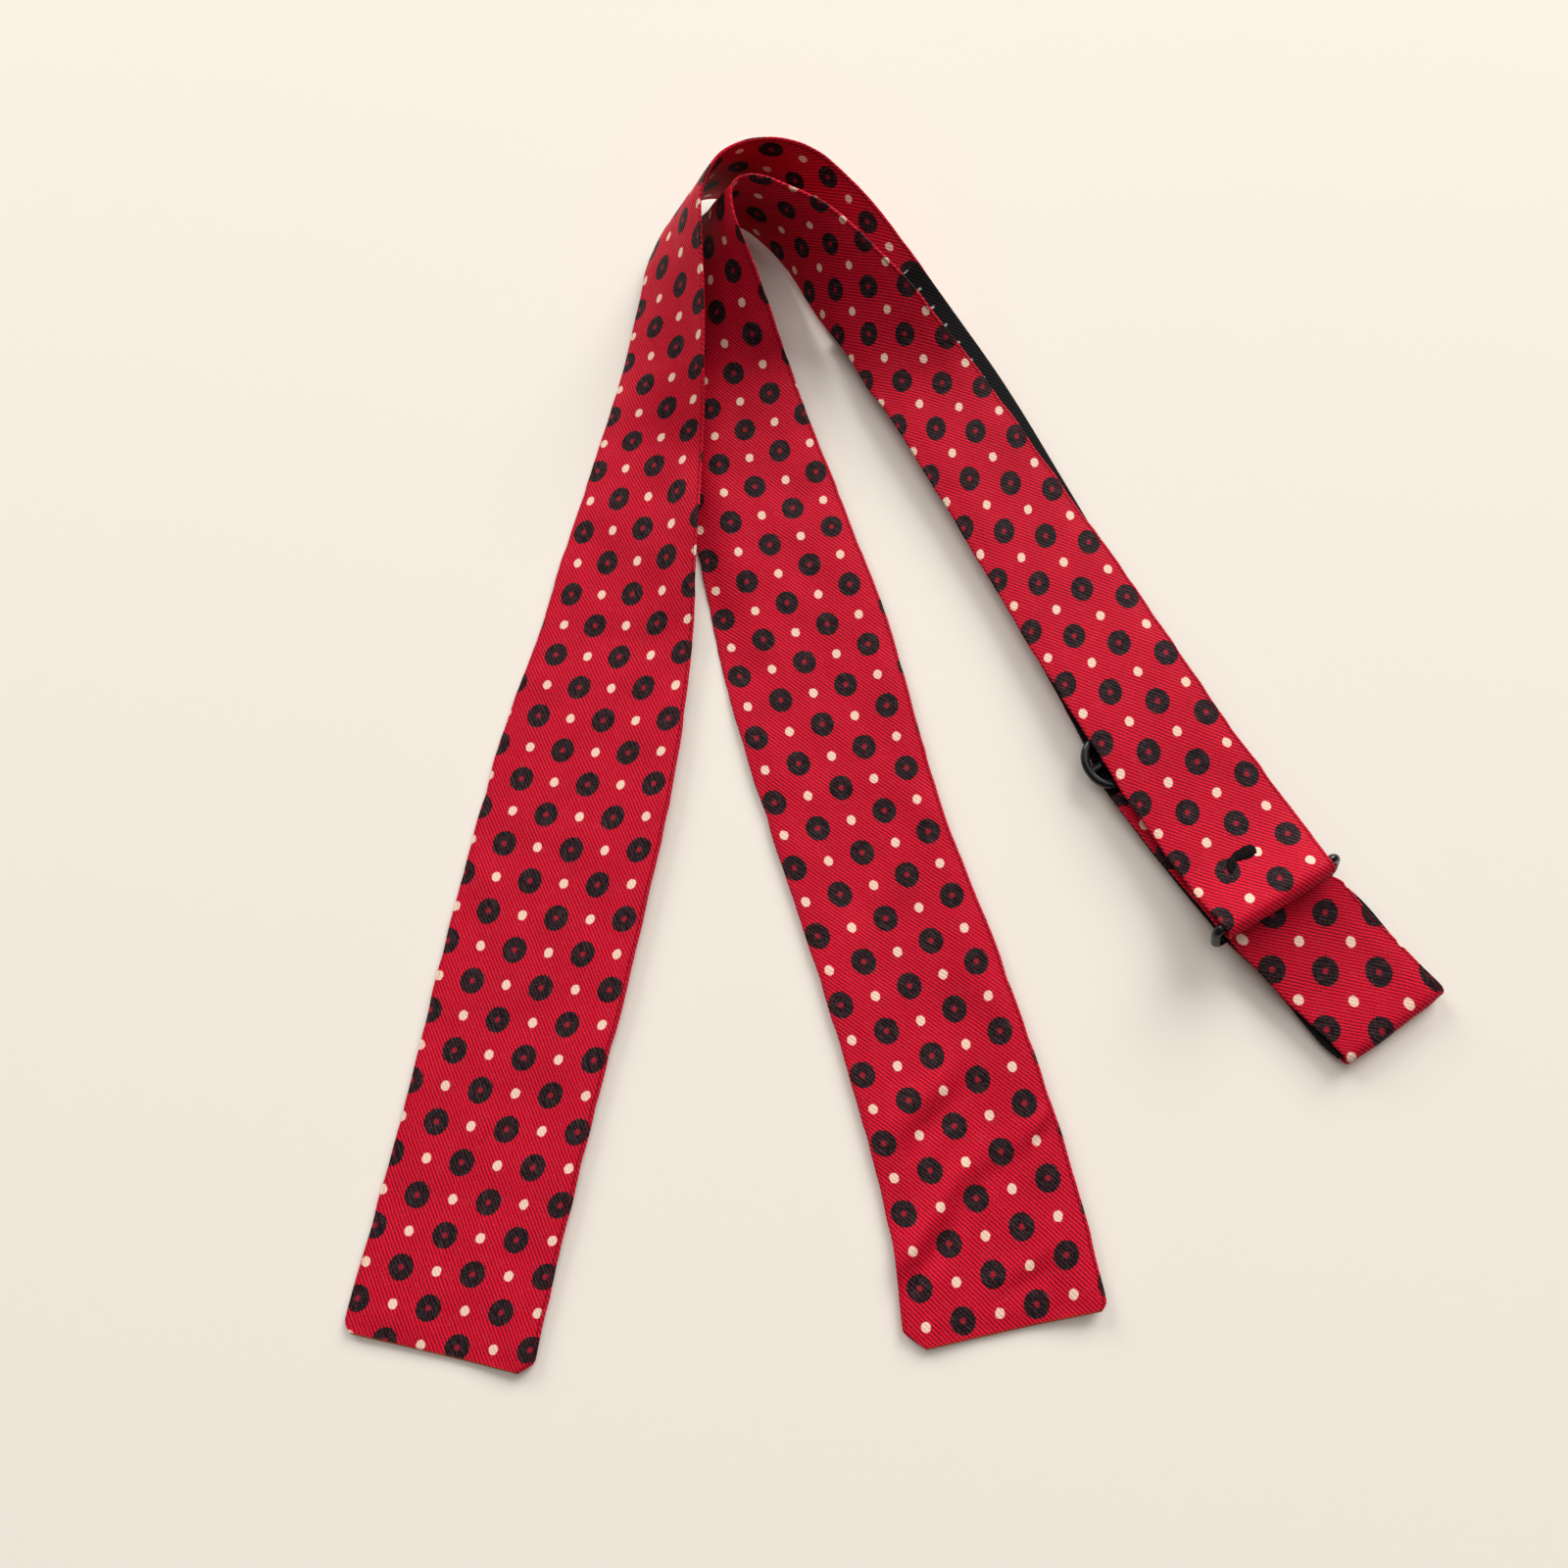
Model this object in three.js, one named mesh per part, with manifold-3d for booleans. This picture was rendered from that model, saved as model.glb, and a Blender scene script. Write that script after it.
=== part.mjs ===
// Self-tie batwing bow tie, untied and laid flat with its two loops standing on edge.
// It is one sewn silk strip in two halves, joined by a wire ring and an adjusting slider,
// with a woven size tape sewn along the inside of the neckband.
// Units are millimetres, +Z is up, and the tie rests on the plane z = 0.

import * as THREE from 'three';
import { mergeVertices } from 'three/addons/utils/BufferGeometryUtils.js';
import Module from 'manifold-3d';

const wasm = await Module();
wasm.setup();

// Thicknesses, and the gap that is left between layers that lie on each other.
const CLOTH = 1.4;
const TAPE = 1.0;
const WIRE = 2.0;
const CLEARANCE = 0.3;
const WIRE_CLEARANCE = 0.5;

// Heights of the middle of each layer in the arm, from the surface upwards.
const LOWER_RISE = CLOTH / 2;
const TAPE_RISE = CLOTH + CLEARANCE + TAPE / 2;
const TAPE_TOP = TAPE_RISE + TAPE / 2;
const STRAP_RISE = TAPE_TOP + CLEARANCE + CLOTH / 2;
const WIRE_RISE = TAPE_TOP + CLEARANCE + WIRE / 2;

// The two folds that lie across the arm: the middle of the line that each shows on its outside,
// the direction of that line in plan, and its length.
const END_FOLD = { x: 101.3, y: -66.8, facing: 34.7, width: 25.0 };
const RING_FOLD = { x: 78.3, y: -42.7, facing: 31.2, width: 25.9 };

// The ring stands on its lower bar on the tape. The strap passes over that bar, and the short
// half is folded round the upper one.
const WRAP_RADIUS = (WIRE + CLOTH) / 2 + WIRE_CLEARANCE;
const STRAP_ON_RING = WIRE_RISE + WIRE / 2 + WIRE_CLEARANCE + CLOTH / 2;
const TAIL_RISE = STRAP_ON_RING + CLOTH + CLEARANCE;
const RING_TOP_RISE = TAIL_RISE + WRAP_RADIUS;
const RING = { length: 29.3, shift: 0.5, lean: 2.2, corner: 1.5 };
const TAIL_LENGTH = 10.0;
const TAIL_END_RISE = 5.7;

// The adjusting slider lies flat on the tape, in line with the arm.
const SLIDER = { x: 54.0, y: -5.7, facing: 31, across: 26.9, along: 10.9, corner: 5.0 };

// The tape starts inside the outer loop, past this place, and ends in the end fold. It is let out
// to be a little wider than the silk at that end.
const TAPE_WIDTH = { start: 24.4, end: 26.4 };
const TAPE_START = { x: -1.5, y: 80 };

// Small cut corners of the two blades.
const LONG_CORNERS = { left: 1.9, right: 2.7 };
const SHORT_CORNERS = { left: 4.2, right: 1.3 };

// Mesh fineness, and how far a ribbon's thin edges are cut back, as a share of its thickness.
const STEP = 4.0;
const FOLD_STEPS = 8;
const WIRE_SIDES = 8;
const LOOP_STEPS = 48;
const WELD_DISTANCE = 1e-4;
const EDGE_SHARE = 0.3;
const PROFILE_SIDES = 6;

// The strips. Each row is one section: the middle of the strip in plan and its height, the
// direction in plan from its left to its right edge, how far that line leans up, and the width.
const COLUMNS = ['x', 'y', 'rise', 'facing', 'lean', 'width'];

const LONG_HALF = [
  [-92.2, -129.5, 0.7, -11.7, 0, 39.4],
  [-82.7, -86.0, 0.7, -13, 0, 39.2],
  [-74.5, -46.9, 0.7, -13, 0, 40.8],
  [-66.3, -7.5, 0.7, -11, 0, 40.0],
  [-60.8, 20.1, 0.7, -9, 0, 35.3],
  [-56.8, 46.1, 2.1, -9, 5.5, 30.1],
  [-53.4, 66.1, 2.9, -11, 10, 26.3],
  [-50.3, 84.0, 6.8, -16, 26.5, 25.2],
  [-48.8, 99.1, 10.4, -19, 40, 25.4],
  [-47.9, 111.2, 13.2, -23, 50, 25.3],
  [-45.2, 121.3, 15.0, -34, 60, 25.0],
  [-39.4, 128.8, 15.0, -44, 68, 25.0],
  [-30.8, 130.9, 13.4, -16, 76, 25.0],
  [-21.6, 127.2, 11.6, 27, 63, 25.0],
  [-14.0, 119.5, 9.5, 30, 45, 25.0],
  [-4.8, 107.0, 6.8, 31, 29, 25.0],
  [5.6, 92.0, 3.7, 32, 12, 25.0],
  [17.5, 73.6, 1.5, 31, 3, 25.0],
  [28.5, 52.3, 0.7, 29, 0, 25.0],
  [51.0, 4.7, 0.7, 30, 0, 25.0],
  [55.2, -6.6, 0.7, 30, 0, 25.0],
  [58.8, -12.6, 0.7, 31, 0, 25.0],
  [67.9, -25.9, 0.7, 32, 0, 25.0],
  [78.3, -39.7, 0.7, 34, 0, 25.4],
  [86.6, -48.1, 0.7, 37, 0, 26.0],
  [92.4, -56.2, 0.7, 37, 0, 25.2],
  [96.7, -61.8, 0.7, 36, 0, 25.0],
];

const SHORT_HALF = [
  [20.5, -124.6, 0.7, 12.2, 0, 40.4],
  [16.3, -99.3, 0.7, 13, 0, 38.4],
  [5.3, -60.5, 0.7, 17, 0, 37.3],
  [-7.3, -22.5, 0.7, 16, 0, 36.6],
  [-16.5, 15.6, 0.7, 15, 0, 36.4],
  [-23.4, 36.5, 0.7, 17, 0, 36.0],
  [-28.6, 56.0, 0.7, 12, 0, 33.0],
  [-33.0, 79.5, 2.3, 11, 6, 26.0],
  [-35.9, 92.0, 6.3, 3, 23, 24.4],
  [-38.0, 104.0, 11.0, -11, 39, 24.0],
  [-38.8, 113.5, 14.6, -29, 54, 23.5],
  [-36.2, 120.7, 15.6, -49, 68, 23.2],
  [-30.5, 121.6, 15.0, -38, 77, 23.0],
  [-23.0, 118.0, 13.4, -4, 73, 23.0],
  [-15.8, 111.6, 12.4, 20, 65, 23.0],
  [-8.7, 102.5, 11.6, 28, 52, 23.0],
  [-2.0, 93.6, 9.7, 32, 36, 23.2],
  [4.9, 84.8, 7.2, 33, 18, 23.1],
  [12.0, 75.8, 5.5, 31, 5, 23.2],
  [26.7, 51.3, 4.2, 31, 0, 25.3],
  [41.5, 24.5, 4.3, 31, 0, 27.1],
  [50.6, 7.1, 5.6, 31, 0, 27.4],
  [55.7, -2.5, 6.2, 31, 0, 27.3],
  [60.8, -11.9, 6.3, 31, 0, 27.5],
  [66.3, -20.7, 6.4, 31, 0, 28.0],
  [71.3, -29.3, 7.3, 31, 0, 27.8],
  [74.0, -34.7, 9.2, 31, 0, 27.2],
];

// The strap is the end of the long half that comes back over the end fold, through the ring
// and up to the slider.
const STRAP = [
  [96.4, -60.9, STRAP_RISE, 39, 0, 25.1],
  [90.0, -53.6, STRAP_RISE, 39.5, 0, 25.6],
  [85.3, -48.1, STRAP_RISE + 0.4, 39.5, 0, 26.0],
  [82.1, -44.7, STRAP_RISE + 1.3, 38, 0, 26.2],
  [78.6, -41.9, STRAP_ON_RING, 33, 0, 25.1],
  [75.9, -37.9, STRAP_RISE + 0.9, 36, 0, 25.3],
  [72.6, -33.2, STRAP_RISE + 0.1, 37, 0, 25.0],
  [66.4, -25.2, STRAP_RISE, 37, 0, 25.0],
  [57.1, -11.8, STRAP_RISE, 31, 0, 25.0],
];

function planDirection(degrees) {
  const angle = THREE.MathUtils.degToRad(degrees);
  return new THREE.Vector3(Math.cos(angle), Math.sin(angle), 0);
}

function section(centre, across, width) {
  return { centre, across: across.clone().normalize(), width };
}

// Lift a section until neither of its edges is below the table.
function restOnTable({ centre, across, width }) {
  const edgeDrop = Math.abs(across.z) * width / 2;
  const faceDrop = Math.sqrt(1 - across.z ** 2) * CLOTH / 2;
  centre.z = Math.max(centre.z, edgeDrop + faceDrop);
}

// Turn the rows of a table into sections, with smooth ones between them every STEP millimetres.
function stripFromRows(rows) {
  const table = rows.map((row) => Object.fromEntries(COLUMNS.map((name, i) => [name, row[i]])));
  const centres = table.map(({ x, y, rise }) => new THREE.Vector3(x, y, rise));
  const acrosses = table.map(({ facing, lean }) => {
    const angle = THREE.MathUtils.degToRad(lean);
    return planDirection(facing).multiplyScalar(Math.cos(angle)).setZ(Math.sin(angle));
  });
  const widths = table.map(({ width }) => new THREE.Vector3(width, 0, 0));
  const [centreLine, acrossLine, widthLine] = [centres, acrosses, widths].map(
    (points) => new THREE.CatmullRomCurve3(points, false, 'catmullrom', 0.5));

  const last = rows.length - 1;
  const sections = [];
  for (let i = 0; i < last; i += 1) {
    const steps = Math.max(1, Math.round(centres[i].distanceTo(centres[i + 1]) / STEP));
    for (let k = 0; k < steps; k += 1) {
      const t = (i + k / steps) / last;
      sections.push(section(centreLine.getPoint(t), acrossLine.getPoint(t), widthLine.getPoint(t).x));
    }
  }
  sections.push(section(centres[last], acrosses[last], widths[last].x));
  sections.forEach(restOnTable);
  return sections;
}

// Narrow the first few millimetres of a strip to a blade's cut corners.
function cutCorners(sections, { left, right }) {
  const [end, next] = sections;
  const depth = Math.max(left, right) / end.centre.distanceTo(next.centre);
  const shoulder = section(
    end.centre.clone().lerp(next.centre, depth),
    end.across.clone().lerp(next.across, depth),
    THREE.MathUtils.lerp(end.width, next.width, depth));
  const edge = section(
    end.centre.clone().addScaledVector(end.across, (left - right) / 2),
    end.across,
    end.width - left - right);
  return [edge, shoulder, ...sections.slice(1)];
}

// Where the axis of a fold lies: behind the line that the fold shows on its outside.
function foldAxis(fold, radius, rise) {
  const outward = planDirection(fold.facing - 90);
  return new THREE.Vector3(fold.x, fold.y, rise).addScaledVector(outward, -(radius + CLOTH / 2));
}

// Half a turn round an axis, upwards for turn = 1 and downwards for turn = -1.
function foldOver(fold, axis, radius, turn) {
  const outward = planDirection(fold.facing - 90);
  const across = planDirection(fold.facing);
  const sections = [];
  for (let i = 0; i <= FOLD_STEPS; i += 1) {
    const angle = turn * Math.PI * (i / FOLD_STEPS - 0.5);
    const centre = axis.clone().addScaledVector(outward, radius * Math.cos(angle));
    centre.z += radius * Math.sin(angle);
    sections.push(section(centre, across, fold.width));
  }
  return sections;
}

// Sweep a flat six-sided profile with thin edges through the sections, and close both ends.
function ribbon(sections, thickness) {
  const bevel = thickness * EDGE_SHARE;
  const positions = [];
  sections.forEach(({ centre, across, width }, i) => {
    const before = sections[Math.max(i - 1, 0)].centre;
    const after = sections[Math.min(i + 1, sections.length - 1)].centre;
    const normal = across.clone().cross(after.clone().sub(before)).normalize();
    const half = width / 2;
    const profile = [
      [half, 0], [half - bevel, thickness / 2], [bevel - half, thickness / 2],
      [-half, 0], [bevel - half, -thickness / 2], [half - bevel, -thickness / 2],
    ];
    for (const [side, up] of profile) {
      const point = centre.clone().addScaledVector(across, side).addScaledVector(normal, up);
      positions.push(point.x, point.y, point.z);
    }
  });

  const sides = PROFILE_SIDES;
  const index = [];
  for (let i = 0; i < sections.length - 1; i += 1) {
    for (let k = 0; k < sides; k += 1) {
      const a = i * sides + k;
      const b = i * sides + (k + 1) % sides;
      if (k < sides / 2) index.push(a, a + sides, b, b, a + sides, b + sides);
      else index.push(a, a + sides, b + sides, a, b + sides, b);
    }
  }
  const lastRing = (sections.length - 1) * sides;
  for (let k = 1; k < sides - 1; k += 1) {
    index.push(0, k, k + 1);
    index.push(lastRing, lastRing + k + 1, lastRing + k);
  }
  const geometry = new THREE.BufferGeometry();
  geometry.setAttribute('position', new THREE.Float32BufferAttribute(positions, 3));
  geometry.setIndex(index);
  return geometry;
}

// A closed wire loop with rounded corners, in the plane of two given directions.
function wireLoop(centre, sideDirection, endDirection, length, breadth, corner) {
  const outline = new THREE.Path();
  const x = length / 2 - corner;
  const y = breadth / 2 - corner;
  outline.absarc(x, y, corner, 0, Math.PI / 2);
  outline.absarc(-x, y, corner, Math.PI / 2, Math.PI);
  outline.absarc(-x, -y, corner, Math.PI, 1.5 * Math.PI);
  outline.absarc(x, -y, corner, 1.5 * Math.PI, 2 * Math.PI);
  outline.closePath();
  const points = outline.getSpacedPoints(LOOP_STEPS).slice(0, -1).map((point) => centre.clone()
    .addScaledVector(sideDirection, point.x).addScaledVector(endDirection, point.y));
  const curve = new THREE.CatmullRomCurve3(points, true, 'catmullrom', 0.5);
  return welded(new THREE.TubeGeometry(curve, points.length, WIRE / 2, WIRE_SIDES, true));
}

function welded(geometry) {
  geometry.deleteAttribute('normal');
  geometry.deleteAttribute('uv');
  return mergeVertices(geometry, WELD_DISTANCE);
}

function toManifold(geometry) {
  const mesh = new wasm.Mesh({
    numProp: 3,
    vertProperties: new Float32Array(geometry.attributes.position.array),
    triVerts: new Uint32Array(geometry.index.array),
  });
  return new wasm.Manifold(mesh);
}

function fromManifold(solid) {
  const mesh = solid.getMesh();
  const geometry = new THREE.BufferGeometry();
  geometry.setAttribute('position', new THREE.Float32BufferAttribute(mesh.vertProperties, 3));
  geometry.setIndex(Array.from(mesh.triVerts));
  return geometry;
}

function longHalfSections() {
  const radius = (STRAP_RISE - LOWER_RISE) / 2;
  const axis = foldAxis(END_FOLD, radius, LOWER_RISE + radius);
  return {
    lower: cutCorners(stripFromRows(LONG_HALF), LONG_CORNERS),
    fold: foldOver(END_FOLD, axis, radius, 1),
    strap: stripFromRows(STRAP),
  };
}

function longHalf() {
  const { lower, fold, strap } = longHalfSections();
  return ribbon([...lower, ...fold, ...strap], CLOTH);
}

function shortHalf() {
  const axis = foldAxis(RING_FOLD, WRAP_RADIUS, RING_TOP_RISE);
  const inward = planDirection(RING_FOLD.facing + 90);
  const across = planDirection(RING_FOLD.facing);
  const tail = axis.clone().addScaledVector(inward, TAIL_LENGTH).setZ(TAIL_END_RISE);
  return ribbon([
    ...cutCorners(stripFromRows(SHORT_HALF), SHORT_CORNERS),
    ...foldOver(RING_FOLD, axis, WRAP_RADIUS, -1),
    section(tail, across, RING_FOLD.width),
  ], CLOTH);
}

// The tape follows the inner face of the long half, one clearance above it.
function neckTape() {
  const { lower, fold } = longHalfSections();
  const first = lower.findIndex(({ centre }) => centre.x > TAPE_START.x && centre.y > TAPE_START.y);
  const carrier = [...lower.slice(first), fold[0]];
  const offset = CLOTH / 2 + CLEARANCE + TAPE / 2;
  const sections = carrier.map(({ centre, across }, i) => {
    const before = carrier[Math.max(i - 1, 0)].centre;
    const after = carrier[Math.min(i + 1, carrier.length - 1)].centre;
    const inner = after.clone().sub(before).cross(across).normalize();
    const width = THREE.MathUtils.lerp(TAPE_WIDTH.start, TAPE_WIDTH.end, i / (carrier.length - 1));
    return section(centre.clone().addScaledVector(inner, offset), across, width);
  });
  return ribbon(sections, TAPE);
}

function ring() {
  const across = planDirection(RING_FOLD.facing);
  const outward = planDirection(RING_FOLD.facing - 90);
  const upper = foldAxis(RING_FOLD, WRAP_RADIUS, RING_TOP_RISE).addScaledVector(across, RING.shift);
  const lower = upper.clone().addScaledVector(outward, RING.lean).setZ(WIRE_RISE);
  const centre = upper.clone().lerp(lower, 0.5);
  const reach = lower.clone().sub(upper);
  return wireLoop(centre, across, reach.clone().normalize(), RING.length, reach.length(), RING.corner);
}

function slider() {
  const across = planDirection(SLIDER.facing);
  const along = planDirection(SLIDER.facing - 90);
  const centre = new THREE.Vector3(SLIDER.x, SLIDER.y, WIRE_RISE);
  const frame = wireLoop(centre, across, along, SLIDER.across, SLIDER.along, SLIDER.corner);
  const bar = new THREE.CylinderGeometry(WIRE / 2, WIRE / 2, SLIDER.across, WIRE_SIDES);
  bar.applyQuaternion(new THREE.Quaternion().setFromUnitVectors(new THREE.Vector3(0, 1, 0), across));
  bar.translate(centre.x, centre.y, centre.z);
  return fromManifold(toManifold(frame).add(toManifold(welded(bar))));
}

function piece(name, geometry, colour, roughness, metalness) {
  const material = new THREE.MeshStandardMaterial({ color: colour, roughness, metalness });
  const mesh = new THREE.Mesh(geometry, material);
  mesh.name = name;
  return mesh;
}

const bowTie = new THREE.Group();
bowTie.add(piece('long_half', longHalf(), 0xb5102a, 0.55, 0));
bowTie.add(piece('short_half', shortHalf(), 0xb5102a, 0.55, 0));
bowTie.add(piece('neck_tape', neckTape(), 0x141414, 0.8, 0));
bowTie.add(piece('ring', ring(), 0x0a0a0a, 0.2, 0.1));
bowTie.add(piece('slider', slider(), 0x0a0a0a, 0.2, 0.1));

export default bowTie;
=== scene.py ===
import math
from collections import namedtuple

import bmesh
import bpy
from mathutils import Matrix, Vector, noise


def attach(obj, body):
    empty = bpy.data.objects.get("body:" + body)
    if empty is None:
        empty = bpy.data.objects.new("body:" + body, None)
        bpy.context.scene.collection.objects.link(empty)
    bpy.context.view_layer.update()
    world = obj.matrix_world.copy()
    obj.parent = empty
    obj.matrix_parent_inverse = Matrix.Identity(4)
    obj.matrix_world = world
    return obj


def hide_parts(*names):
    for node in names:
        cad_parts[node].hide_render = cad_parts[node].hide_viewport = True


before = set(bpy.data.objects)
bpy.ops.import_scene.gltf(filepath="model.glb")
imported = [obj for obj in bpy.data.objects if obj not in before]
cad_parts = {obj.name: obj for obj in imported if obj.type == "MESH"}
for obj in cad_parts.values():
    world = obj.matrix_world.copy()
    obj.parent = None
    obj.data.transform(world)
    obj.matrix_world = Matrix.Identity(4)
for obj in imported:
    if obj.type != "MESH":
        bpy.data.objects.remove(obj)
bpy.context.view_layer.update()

# Long half: a strip of printed silk twill, cut on the bias, sewn into a flat tube over a soft
# interlining and pressed. It holds the left blade, runs on edge round the outer loop, lies under
# the arm, and comes back over the end fold as the strap. Sizes are in millimetres.
MM = 0.001
CLOTH = 1.4
CLEARANCE = 0.3
WIRE = 2.0
WIRE_CLEARANCE = 0.5
TAPE = 1.0
LOWER_RISE = CLOTH / 2
TAPE_TOP = CLOTH + CLEARANCE + TAPE
STRAP_RISE = TAPE_TOP + CLEARANCE + CLOTH / 2
WIRE_RISE = TAPE_TOP + CLEARANCE + WIRE / 2
STRAP_ON_RING = WIRE_RISE + WIRE / 2 + WIRE_CLEARANCE + CLOTH / 2
END_FOLD = dict(x=101.3, y=-66.8, facing=34.7, width=25.0)
LONG_CORNERS = dict(left=1.9, right=2.7)

# Each row is one section: its middle in plan and its height, the direction in plan from its left
# to its right edge, how far that line leans up, and the width.
# x, y, rise, facing, lean, width
LONG_HALF = [
    (-92.2, -129.5, 0.7, -11.7, 0, 39.4),
    (-82.7, -86.0, 0.7, -13, 0, 39.2),
    (-74.5, -46.9, 0.7, -13, 0, 40.8),
    (-66.3, -7.5, 0.7, -11, 0, 40.0),
    (-60.8, 20.1, 0.7, -9, 0, 35.3),
    (-56.8, 46.1, 2.1, -9, 5.5, 30.1),
    (-53.4, 66.1, 2.9, -11, 10, 26.3),
    (-50.3, 84.0, 6.8, -16, 26.5, 25.2),
    (-48.8, 99.1, 10.4, -19, 40, 25.4),
    (-47.9, 111.2, 13.2, -23, 50, 25.3),
    (-45.2, 121.3, 15.0, -34, 60, 25.0),
    (-39.4, 128.8, 15.0, -44, 68, 25.0),
    (-30.8, 130.9, 13.4, -16, 76, 25.0),
    (-21.6, 127.2, 11.6, 27, 63, 25.0),
    (-14.0, 119.5, 9.5, 30, 45, 25.0),
    (-4.8, 107.0, 6.8, 31, 29, 25.0),
    (5.6, 92.0, 3.7, 32, 12, 25.0),
    (17.5, 73.6, 1.5, 31, 3, 25.0),
    (28.5, 52.3, 0.7, 29, 0, 25.0),
    (51.0, 4.7, 0.7, 30, 0, 25.0),
    (55.2, -6.6, 0.7, 30, 0, 25.0),
    (58.8, -12.6, 0.7, 31, 0, 25.0),
    (67.9, -25.9, 0.7, 32, 0, 25.0),
    (78.3, -39.7, 0.7, 34, 0, 25.4),
    (86.6, -48.1, 0.7, 37, 0, 26.0),
    (92.4, -56.2, 0.7, 37, 0, 25.2),
    (96.7, -61.8, 0.7, 36, 0, 25.0),
]
STRAP = [
    (96.4, -60.9, STRAP_RISE, 39, 0, 25.1),
    (90.0, -53.6, STRAP_RISE, 39.5, 0, 25.6),
    (85.3, -48.1, STRAP_RISE + 0.4, 39.5, 0, 26.0),
    (82.1, -44.7, STRAP_RISE + 1.3, 38, 0, 26.2),
    (78.6, -41.9, STRAP_ON_RING, 33, 0, 25.1),
    (75.9, -37.9, STRAP_RISE + 0.9, 36, 0, 25.3),
    (72.6, -33.2, STRAP_RISE + 0.1, 37, 0, 25.0),
    (66.4, -25.2, STRAP_RISE, 37, 0, 25.0),
    (57.1, -11.8, STRAP_RISE, 31, 0, 25.0),
]

# The print is a checkerboard of discs and dots. Each row gives, at a distance along the strip,
# the checkerboard's row number, where its middle column lies, its pitch, and its slope.
# along, row, column, pitch, slope
LONG_FACE_PRINT = [
    (0, -0.3, 4.0, 7.3, 0.16),
    (30, 4.0, 2.7, 7.35, 0.16),
    (74, 10.0, 2.4, 7.35, 0.16),
    (104, 14.0, 1.5, 7.35, 0.15),
    (133.5, 18.0, 1.5, 7.2, 0.13),
    (163.6, 22.0, 1.8, 6.9, 0.17),
    (195, 26.0, 1.4, 6.7, 0.22),
    (236.6, 32.0, 4.0, 7.8, 0.22),
    (260, 35.2, 4.0, 7.5, 0.15),
    (510, 68.7, -3.3, 7.8, 0.1),
    (520.2, 70.0, -3.3, 8.1, 0.1),
    (544, 73.0, -2.6, 8.2, 0.1),
    (590, 79.0, -2.6, 7.6, 0.1),
]
LONG_BACK_PRINT = [
    (0, -1.0, 3.0, 7.3, 0.0),
    (255, 33.6, 3.2, 6.6, -0.1),
    (272.3, 36.0, 3.3, 6.3, -0.1),
    (286.4, 38.0, 3.6, 5.8, -0.1),
    (304.6, 40.9, 3.0, 5.8, -0.1),
    (330, 44.4, 3.0, 7.3, 0.0),
    (590, 79.4, 3.0, 7.3, 0.0),
]
PRINT_BOW = 0.0025

Section = namedtuple("Section", "centre across width")
Row = namedtuple("Row", "along centre across normal width")


def plan_direction(degrees):
    angle = math.radians(degrees)
    return Vector((math.cos(angle), math.sin(angle), 0))


def spline(points, i, t):
    """The point between points[i] and points[i + 1] on a smooth curve through all of them."""
    here, there = points[i], points[i + 1]
    before = points[i - 1] if i > 0 else here * 2 - there
    after = points[i + 2] if i + 2 < len(points) else there * 2 - here
    start, end = (there - before) / 2, (after - here) / 2
    return (((here - there) * 2 + start + end) * t ** 3
            + ((there - here) * 3 - start * 2 - end) * t ** 2 + start * t + here)


def rest_on_table(centre, across, width, thickness):
    """Lifts a section until neither of its edges is below the table."""
    edge_drop = abs(across.z) * width / 2
    face_drop = math.sqrt(max(0, 1 - across.z ** 2)) * thickness / 2
    centre.z = max(centre.z, edge_drop + face_drop)


def strip_from_rows(table, step=1.0):
    """Sections about every step millimetres, on smooth curves through the rows of a table."""
    centres = [Vector((x, y, rise)) for x, y, rise, *_ in table]
    acrosses = []
    for _, _, _, facing, lean, _ in table:
        flat = math.cos(math.radians(lean))
        acrosses.append(plan_direction(facing) * flat + Vector((0, 0, math.sin(math.radians(lean)))))
    widths = [Vector((row[5], 0, 0)) for row in table]
    sections = []
    for i in range(len(table) - 1):
        steps = max(1, round((centres[i + 1] - centres[i]).length / step))
        last = i == len(table) - 2
        for k in range(steps + last):
            t = k / steps
            section = Section(spline(centres, i, t), spline(acrosses, i, t).normalized(),
                              spline(widths, i, t).x)
            rest_on_table(*section, CLOTH)
            sections.append(section)
    return sections


def fold_axis(fold, radius, rise):
    """The axis of a fold, behind the line that the fold shows on its outside."""
    outward = plan_direction(fold["facing"] - 90)
    return Vector((fold["x"], fold["y"], rise)) - outward * (radius + CLOTH / 2)


def fold_over(fold, axis, radius, turn, steps=16):
    """Half a turn round an axis, upwards for turn = 1 and downwards for turn = -1."""
    outward = plan_direction(fold["facing"] - 90)
    across = plan_direction(fold["facing"])
    sections = []
    for i in range(steps + 1):
        angle = turn * math.pi * (i / steps - 0.5)
        reach = outward * math.cos(angle) + Vector((0, 0, math.sin(angle)))
        sections.append(Section(axis + reach * radius, across, fold["width"]))
    return sections


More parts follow.
